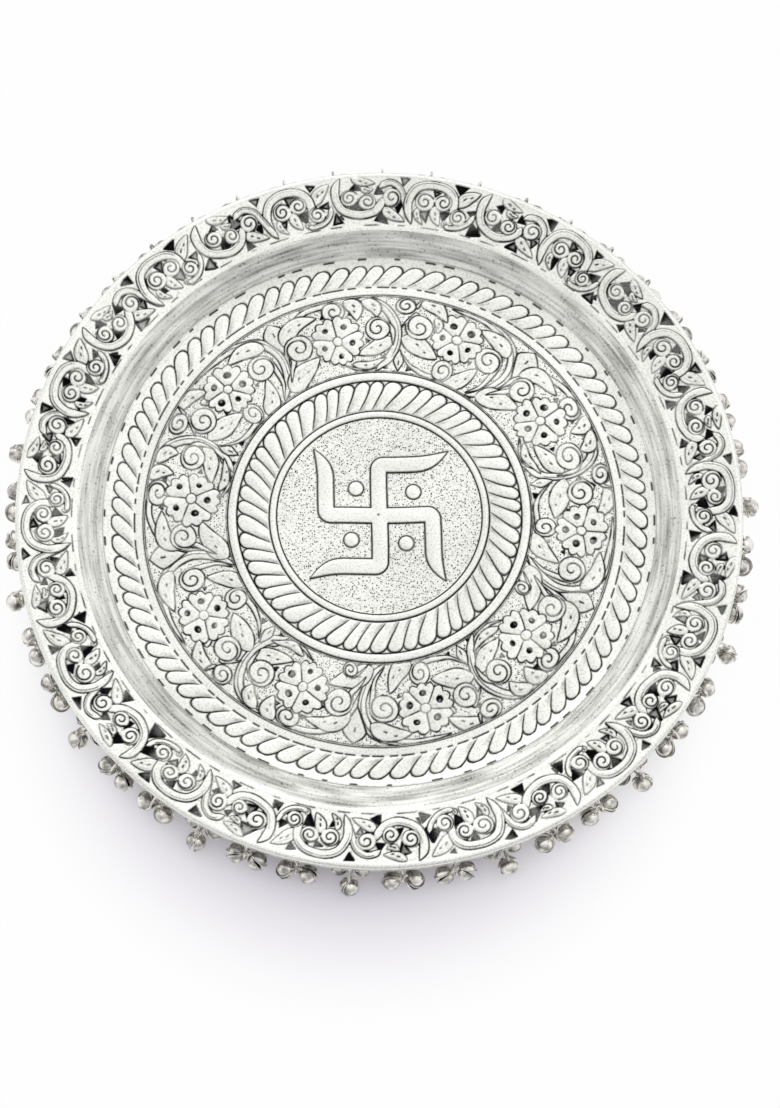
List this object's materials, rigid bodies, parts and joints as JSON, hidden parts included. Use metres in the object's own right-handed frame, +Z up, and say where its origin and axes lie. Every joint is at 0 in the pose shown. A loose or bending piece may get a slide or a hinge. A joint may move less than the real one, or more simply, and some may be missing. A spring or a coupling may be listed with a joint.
{
  "type": "puja thali",
  "caption": "Round chased silver puja thali: flat floor with a swastika medallion, scrolled rim and bunches of small bells swinging on rings under its lip, on a foot ring.",
  "frame": {"origin": "middle of the table face under the foot ring", "axes": "+Z up out of the well; -Y is the side of the rim nearest the viewer in the picture; +X to the viewer's right"},
  "size_m": [0.3205, 0.3199, 0.0232],
  "materials": {
    "chased_silver": "silver-plated white metal, burnished on the heights, dark patina in the chased lines",
    "plain_silver": "silver-plated white metal, plain satin",
    "bell_silver": "silver-plated white metal, bright with a grey patina in the mouths"
  },
  "bodies": {
    "dish": {"thali_dish": "chased_silver", "foot_ring": "plain_silver"},
    "bells_01": {"bell_cluster_01": "bell_silver"},
    "bells_02": {"bell_cluster_02": "bell_silver"},
    "bells_03": {"bell_cluster_03": "bell_silver"},
    "bells_04": {"bell_cluster_04": "bell_silver"},
    "bells_05": {"bell_cluster_05": "bell_silver"},
    "bells_06": {"bell_cluster_06": "bell_silver"},
    "bells_07": {"bell_cluster_07": "bell_silver"},
    "bells_08": {"bell_cluster_08": "bell_silver"},
    "bells_09": {"bell_cluster_09": "bell_silver"},
    "bells_10": {"bell_cluster_10": "bell_silver"},
    "bells_11": {"bell_cluster_11": "bell_silver"},
    "bells_12": {"bell_cluster_12": "bell_silver"},
    "bells_13": {"bell_cluster_13": "bell_silver"},
    "bells_14": {"bell_cluster_14": "bell_silver"},
    "bells_15": {"bell_cluster_15": "bell_silver"},
    "bells_16": {"bell_cluster_16": "bell_silver"},
    "bells_17": {"bell_cluster_17": "bell_silver"},
    "bells_18": {"bell_cluster_18": "bell_silver"},
    "bells_19": {"bell_cluster_19": "bell_silver"},
    "bells_20": {"bell_cluster_20": "bell_silver"},
    "bells_21": {"bell_cluster_21": "bell_silver"},
    "bells_22": {"bell_cluster_22": "bell_silver"},
    "bells_23": {"bell_cluster_23": "bell_silver"},
    "bells_24": {"bell_cluster_24": "bell_silver"},
    "bells_25": {"bell_cluster_25": "bell_silver"},
    "bells_26": {"bell_cluster_26": "bell_silver"},
    "bells_27": {"bell_cluster_27": "bell_silver"},
    "bells_28": {"bell_cluster_28": "bell_silver"},
    "bells_29": {"bell_cluster_29": "bell_silver"},
    "bells_30": {"bell_cluster_30": "bell_silver"},
    "bells_31": {"bell_cluster_31": "bell_silver"},
    "bells_32": {"bell_cluster_32": "bell_silver"},
    "bells_33": {"bell_cluster_33": "bell_silver"},
    "bells_34": {"bell_cluster_34": "bell_silver"},
    "bells_35": {"bell_cluster_35": "bell_silver"},
    "bells_36": {"bell_cluster_36": "bell_silver"},
    "bells_37": {"bell_cluster_37": "bell_silver"},
    "bells_38": {"bell_cluster_38": "bell_silver"},
    "bells_39": {"bell_cluster_39": "bell_silver"},
    "bells_40": {"bell_cluster_40": "bell_silver"},
    "bells_41": {"bell_cluster_41": "bell_silver"},
    "bells_42": {"bell_cluster_42": "bell_silver"},
    "bells_43": {"bell_cluster_43": "bell_silver"},
    "bells_44": {"bell_cluster_44": "bell_silver"},
    "bells_45": {"bell_cluster_45": "bell_silver"}
  },
  "joints": [
    {"name": "bell_swing_01", "type": "hinge", "parent": "dish", "child": "bells_01", "pos_m": [0.15194, 0.00424, 0.02022], "axis": [0.0279, -0.9996, 0], "range_deg": [-30, 30]},
    {"name": "bell_swing_02", "type": "hinge", "parent": "dish", "child": "bells_02", "pos_m": [0.14987, 0.02535, 0.02022], "axis": [0.1668, -0.986, 0], "range_deg": [-30, 30]},
    {"name": "bell_swing_03", "type": "hinge", "parent": "dish", "child": "bells_03", "pos_m": [0.14489, 0.04596, 0.02022], "axis": [0.3024, -0.9532, 0], "range_deg": [-30, 30]},
    {"name": "bell_swing_04", "type": "hinge", "parent": "dish", "child": "bells_04", "pos_m": [0.13708, 0.06568, 0.02022], "axis": [0.4321, -0.9018, 0], "range_deg": [-30, 30]},
    {"name": "bell_swing_05", "type": "hinge", "parent": "dish", "child": "bells_05", "pos_m": [0.1266, 0.08412, 0.02022], "axis": [0.5534, -0.8329, 0], "range_deg": [-30, 30]},
    {"name": "bell_swing_06", "type": "hinge", "parent": "dish", "child": "bells_06", "pos_m": [0.11367, 0.10092, 0.02022], "axis": [0.6639, -0.7478, 0], "range_deg": [-30, 30]},
    {"name": "bell_swing_07", "type": "hinge", "parent": "dish", "child": "bells_07", "pos_m": [0.09851, 0.11575, 0.02022], "axis": [0.7615, -0.6481, 0], "range_deg": [-30, 30]},
    {"name": "bell_swing_08", "type": "hinge", "parent": "dish", "child": "bells_08", "pos_m": [0.08145, 0.12834, 0.02022], "axis": [0.8443, -0.5358, 0], "range_deg": [-30, 30]},
    {"name": "bell_swing_09", "type": "hinge", "parent": "dish", "child": "bells_09", "pos_m": [0.06279, 0.13842, 0.02022], "axis": [0.9107, -0.4131, 0], "range_deg": [-30, 30]},
    {"name": "bell_swing_10", "type": "hinge", "parent": "dish", "child": "bells_10", "pos_m": [0.04292, 0.14582, 0.02022], "axis": [0.9593, -0.2823, 0], "range_deg": [-30, 30]},
    {"name": "bell_swing_11", "type": "hinge", "parent": "dish", "child": "bells_11", "pos_m": [0.0222, 0.15037, 0.02022], "axis": [0.9893, -0.1461, 0], "range_deg": [-30, 30]},
    {"name": "bell_swing_12", "type": "hinge", "parent": "dish", "child": "bells_12", "pos_m": [0.00106, 0.152, 0.02022], "axis": [1, -0.007, 0], "range_deg": [-30, 30]},
    {"name": "bell_swing_13", "type": "hinge", "parent": "dish", "child": "bells_13", "pos_m": [-0.0201, 0.15066, 0.02022], "axis": [0.9912, 0.1323, 0], "range_deg": [-30, 30]},
    {"name": "bell_swing_14", "type": "hinge", "parent": "dish", "child": "bells_14", "pos_m": [-0.04088, 0.1464, 0.02022], "axis": [0.9632, 0.2689, 0], "range_deg": [-30, 30]},
    {"name": "bell_swing_15", "type": "hinge", "parent": "dish", "child": "bells_15", "pos_m": [-0.06085, 0.13929, 0.02022], "axis": [0.9164, 0.4003, 0], "range_deg": [-30, 30]},
    {"name": "bell_swing_16", "type": "hinge", "parent": "dish", "child": "bells_16", "pos_m": [-0.07965, 0.12946, 0.02022], "axis": [0.8517, 0.524, 0], "range_deg": [-30, 30]},
    {"name": "bell_swing_17", "type": "hinge", "parent": "dish", "child": "bells_17", "pos_m": [-0.09689, 0.11712, 0.02022], "axis": [0.7705, 0.6374, 0], "range_deg": [-30, 30]},
    {"name": "bell_swing_18", "type": "hinge", "parent": "dish", "child": "bells_18", "pos_m": [-0.11224, 0.10249, 0.02022], "axis": [0.6743, 0.7385, 0], "range_deg": [-30, 30]},
    {"name": "bell_swing_19", "type": "hinge", "parent": "dish", "child": "bells_19", "pos_m": [-0.12542, 0.08588, 0.02022], "axis": [0.565, 0.8251, 0], "range_deg": [-30, 30]},
    {"name": "bell_swing_20", "type": "hinge", "parent": "dish", "child": "bells_20", "pos_m": [-0.13615, 0.06759, 0.02022], "axis": [0.4446, 0.8957, 0], "range_deg": [-30, 30]},
    {"name": "bell_swing_21", "type": "hinge", "parent": "dish", "child": "bells_21", "pos_m": [-0.14423, 0.04798, 0.02022], "axis": [0.3156, 0.9489, 0], "range_deg": [-30, 30]},
    {"name": "bell_swing_22", "type": "hinge", "parent": "dish", "child": "bells_22", "pos_m": [-0.1495, 0.02744, 0.02022], "axis": [0.1805, 0.9836, 0], "range_deg": [-30, 30]},
    {"name": "bell_swing_23", "type": "hinge", "parent": "dish", "child": "bells_23", "pos_m": [-0.15187, 0.00636, 0.02022], "axis": [0.0419, 0.9991, 0], "range_deg": [-30, 30]},
    {"name": "bell_swing_24", "type": "hinge", "parent": "dish", "child": "bells_24", "pos_m": [-0.15127, -0.01483, 0.02022], "axis": [-0.0976, 0.9952, 0], "range_deg": [-30, 30]},
    {"name": "bell_swing_25", "type": "hinge", "parent": "dish", "child": "bells_25", "pos_m": [-0.14774, -0.03574, 0.02022], "axis": [-0.2351, 0.972, 0], "range_deg": [-30, 30]},
    {"name": "bell_swing_26", "type": "hinge", "parent": "dish", "child": "bells_26", "pos_m": [-0.14133, -0.05595, 0.02022], "axis": [-0.3681, 0.9298, 0], "range_deg": [-30, 30]},
    {"name": "bell_swing_27", "type": "hinge", "parent": "dish", "child": "bells_27", "pos_m": [-0.13216, -0.07508, 0.02022], "axis": [-0.4939, 0.8695, 0], "range_deg": [-30, 30]},
    {"name": "bell_swing_28", "type": "hinge", "parent": "dish", "child": "bells_28", "pos_m": [-0.12043, -0.09274, 0.02022], "axis": [-0.6101, 0.7923, 0], "range_deg": [-30, 30]},
    {"name": "bell_swing_29", "type": "hinge", "parent": "dish", "child": "bells_29", "pos_m": [-0.10635, -0.1086, 0.02022], "axis": [-0.7145, 0.6997, 0], "range_deg": [-30, 30]},
    {"name": "bell_swing_30", "type": "hinge", "parent": "dish", "child": "bells_30", "pos_m": [-0.0902, -0.12234, 0.02022], "axis": [-0.8049, 0.5934, 0], "range_deg": [-30, 30]},
    {"name": "bell_swing_31", "type": "hinge", "parent": "dish", "child": "bells_31", "pos_m": [-0.07229, -0.13371, 0.02022], "axis": [-0.8796, 0.4756, 0], "range_deg": [-30, 30]},
    {"name": "bell_swing_32", "type": "hinge", "parent": "dish", "child": "bells_32", "pos_m": [-0.05298, -0.14247, 0.02022], "axis": [-0.9373, 0.3486, 0], "range_deg": [-30, 30]},
    {"name": "bell_swing_33", "type": "hinge", "parent": "dish", "child": "bells_33", "pos_m": [-0.03264, -0.14845, 0.02022], "axis": [-0.9767, 0.2147, 0], "range_deg": [-30, 30]},
    {"name": "bell_swing_34", "type": "hinge", "parent": "dish", "child": "bells_34", "pos_m": [-0.01166, -0.15155, 0.02022], "axis": [-0.9971, 0.0767, 0], "range_deg": [-30, 30]},
    {"name": "bell_swing_35", "type": "hinge", "parent": "dish", "child": "bells_35", "pos_m": [0.00954, -0.1517, 0.02022], "axis": [-0.998, -0.0628, 0], "range_deg": [-30, 30]},
    {"name": "bell_swing_36", "type": "hinge", "parent": "dish", "child": "bells_36", "pos_m": [0.03056, -0.14889, 0.02022], "axis": [-0.9796, -0.2011, 0], "range_deg": [-30, 30]},
    {"name": "bell_swing_37", "type": "hinge", "parent": "dish", "child": "bells_37", "pos_m": [0.05099, -0.14319, 0.02022], "axis": [-0.9421, -0.3355, 0], "range_deg": [-30, 30]},
    {"name": "bell_swing_38", "type": "hinge", "parent": "dish", "child": "bells_38", "pos_m": [0.07042, -0.1347, 0.02022], "axis": [-0.8862, -0.4633, 0], "range_deg": [-30, 30]},
    {"name": "bell_swing_39", "type": "hinge", "parent": "dish", "child": "bells_39", "pos_m": [0.08848, -0.12359, 0.02022], "axis": [-0.8131, -0.5821, 0], "range_deg": [-30, 30]},
    {"name": "bell_swing_40", "type": "hinge", "parent": "dish", "child": "bells_40", "pos_m": [0.10482, -0.11007, 0.02022], "axis": [-0.7242, -0.6896, 0], "range_deg": [-30, 30]},
    {"name": "bell_swing_41", "type": "hinge", "parent": "dish", "child": "bells_41", "pos_m": [0.11912, -0.09441, 0.02022], "axis": [-0.6211, -0.7837, 0], "range_deg": [-30, 30]},
    {"name": "bell_swing_42", "type": "hinge", "parent": "dish", "child": "bells_42", "pos_m": [0.1311, -0.07692, 0.02022], "axis": [-0.506, -0.8625, 0], "range_deg": [-30, 30]},
    {"name": "bell_swing_43", "type": "hinge", "parent": "dish", "child": "bells_43", "pos_m": [0.14053, -0.05792, 0.02022], "axis": [-0.3811, -0.9245, 0], "range_deg": [-30, 30]},
    {"name": "bell_swing_44", "type": "hinge", "parent": "dish", "child": "bells_44", "pos_m": [0.14722, -0.0378, 0.02022], "axis": [-0.2487, -0.9686, 0], "range_deg": [-30, 30]},
    {"name": "bell_swing_45", "type": "hinge", "parent": "dish", "child": "bells_45", "pos_m": [0.15105, -0.01694, 0.02022], "axis": [-0.1115, -0.9938, 0], "range_deg": [-30, 30]}
  ]
}
